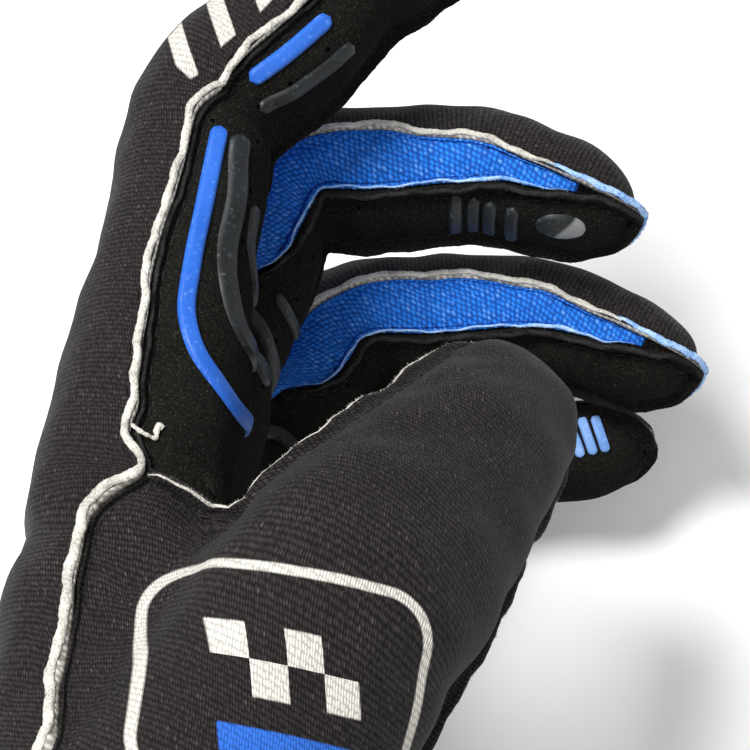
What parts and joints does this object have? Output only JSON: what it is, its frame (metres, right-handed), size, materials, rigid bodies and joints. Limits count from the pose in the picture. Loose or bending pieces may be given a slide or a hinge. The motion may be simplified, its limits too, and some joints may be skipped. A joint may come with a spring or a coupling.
{
  "type": "sim racing glove",
  "caption": "Left-hand racing glove of knit, suede and mesh in its worn, gripping form, with outside seams and raised silicone grips.",
  "frame": {"origin": "middle of the wrist opening, in the plane of the band's free edge", "axes": "+Y from the wrist opening to the knuckles, +X to the palm side, +Z to the thumb side"},
  "size_m": [0.0966, 0.1852, 0.1002],
  "materials": {
    "printed_knit": "dark printed stretch knit, matte",
    "palm_suede": "near-black brushed suede, matte",
    "side_mesh": "bright blue sports mesh, matte",
    "blue_silicone": "raised silicone print, satin",
    "grey_silicone": "raised silicone print, satin"
  },
  "bodies": {
    "root": {"back_panel": "printed_knit", "thumb_panel": "printed_knit", "palm_panel": "palm_suede", "fourchette_index_middle": "side_mesh", "fourchette_middle_ring": "side_mesh", "fourchette_ring_little": "side_mesh", "cuff_band": "printed_knit", "palm_stripe_1": "blue_silicone", "index_stripe_blue": "blue_silicone", "palm_stripe_2": "grey_silicone", "palm_stripe_3": "grey_silicone", "palm_stripe_4": "grey_silicone", "index_stripe_grey": "grey_silicone", "middle_pad": "grey_silicone", "middle_bar_1": "grey_silicone", "middle_bar_2": "grey_silicone", "middle_bar_3": "grey_silicone", "middle_bar_4": "grey_silicone"}
  },
  "joints": []
}
